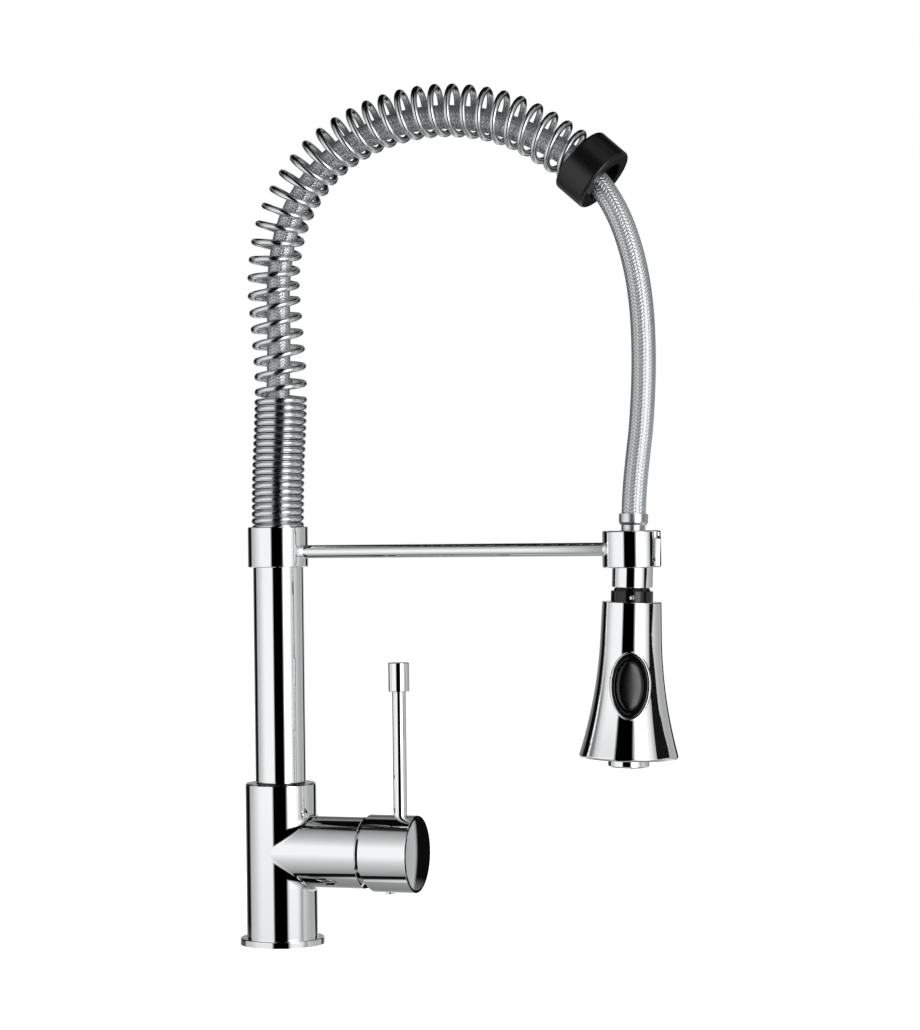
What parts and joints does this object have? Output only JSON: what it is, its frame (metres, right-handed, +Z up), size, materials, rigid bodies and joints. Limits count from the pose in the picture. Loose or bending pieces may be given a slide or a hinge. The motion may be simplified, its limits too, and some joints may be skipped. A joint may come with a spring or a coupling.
{
  "type": "pull-out kitchen faucet",
  "caption": "Chrome kitchen faucet with a side lever, a spring arch around a braided hose, and a pull-out spray held in a dock.",
  "frame": {"origin": "centre of the foot's underside, on the deck, on the riser's axis", "axes": "+Z up along the riser, +X the way the arch, the dock and the side lever reach"},
  "size_m": [0.2738, 0.058, 0.5155],
  "materials": {
    "chromed_brass": "mirror-polished chrome plate on brass",
    "chromed_abs": "bright chrome plate on moulded plastic",
    "polished_steel": "polished stainless spring wire",
    "plain_brass": "machined brass",
    "stainless": "plain stainless steel",
    "black_rubber": "satin black rubber",
    "grey_rubber": "grey silicone",
    "black_plastic": "glossy black plastic",
    "white_plastic": "natural acetal",
    "ceramic": "polished alumina ceramic",
    "braid": "silver-grey braid under a clear sleeve"
  },
  "bodies": {
    "mixer_body": {"body_casting": "chromed_brass", "side_arm": "chromed_brass", "base_flange": "chromed_brass", "base_gasket": "black_rubber", "lower_bush": "white_plastic", "upper_bush": "black_plastic", "riser_lock_screw": "stainless", "cartridge_body": "white_plastic", "cartridge_cap": "white_plastic", "cartridge_seals": "black_rubber", "fixed_disc": "ceramic", "cartridge_nut": "plain_brass", "cover_ring": "chromed_brass"},
    "mixing_spindle": {"spindle_carrier": "white_plastic", "stem_pin": "stainless"},
    "sliding_disc": {"moving_disc": "ceramic", "disc_carrier": "white_plastic"},
    "lever": {"lever_stem": "plain_brass", "handle_cap": "chromed_brass", "handle_end_disc": "chromed_brass", "handle_screw": "stainless", "screw_plug": "chromed_abs", "lever_rod": "chromed_brass", "lever_knob": "chromed_brass"},
    "spout": {"riser_connector": "plain_brass", "riser_o_rings": "black_rubber", "riser_tube": "chromed_brass", "hose_connector": "plain_brass", "connector_o_rings": "black_rubber", "riser_collar": "chromed_brass", "collar_screw": "stainless", "spring_seat": "stainless", "hose_lower_fitting": "plain_brass", "hose_lower_ferrule": "stainless", "dock_rod": "chromed_brass", "dock_clip": "chromed_brass", "dock_grip_ring": "black_rubber", "spring": "polished_steel", "hose": "braid"},
    "hose_end": {"spring_end_ring": "black_rubber", "hose_ferrule": "chromed_brass", "hose_end_nipple": "chromed_brass", "neck_sleeve": "chromed_brass", "swivel_clip": "stainless"},
    "spray_head": {"head_core": "white_plastic", "neck_o_rings": "black_rubber", "check_valve": "white_plastic", "black_collar": "black_plastic", "collar_pin": "stainless", "head_shell": "chromed_abs", "button_bezel": "chromed_abs", "button_frame": "black_plastic", "spray_face": "black_plastic", "spray_nozzles": "grey_rubber", "aerator_housing": "chromed_brass", "aerator_insert": "white_plastic"},
    "spray_button": {"spray_button": "black_plastic", "diverter_spool": "white_plastic", "button_spring": "stainless"}
  },
  "joints": [
    {"name": "spout_swivel", "type": "hinge", "parent": "mixer_body", "child": "spout", "pos_m": [0, 0, 0.0975], "axis": [0, 0, 1], "range_deg": [-180, 180]},
    {"name": "lever_mix", "type": "hinge", "parent": "mixer_body", "child": "mixing_spindle", "pos_m": [0.056, 0, 0.056], "axis": [1, 0, 0], "range_deg": [-45, 45]},
    {"name": "lever_tilt", "type": "hinge", "parent": "mixing_spindle", "child": "lever", "pos_m": [0.056, 0, 0.056], "axis": [0, 1, 0], "range_deg": [0, 15]},
    {"name": "disc_slide", "type": "slide", "parent": "mixing_spindle", "child": "sliding_disc", "axis": [0, 0, 1], "range_m": [0, 0.0044]},
    {"name": "pull_out", "type": "slide", "parent": "spout", "child": "hose_end", "axis": [-0.0332, 0, -0.9995], "range_m": [0, 0.08], "stiffness_N_per_m": 110, "springref_m": -0.09, "deforming": ["spring", "hose"]},
    {"name": "spray_swivel", "type": "hinge", "parent": "hose_end", "child": "spray_head", "pos_m": [0.2233, 0, 0.2374], "axis": [0.0332, 0, 0.9995], "range_deg": [-180, 180]},
    {"name": "button_press", "type": "slide", "parent": "spray_head", "child": "spray_button", "axis": [-0.2755, 0.9613, 0.0091], "range_m": [0, 0.0025], "stiffness_N_per_m": 1200, "springref_m": -0.001, "deforming": ["button_spring"]}
  ],
  "couplings": [
    {"joint": "disc_slide", "follows": "lever_tilt", "m_per_rad": 0.0165}
  ]
}
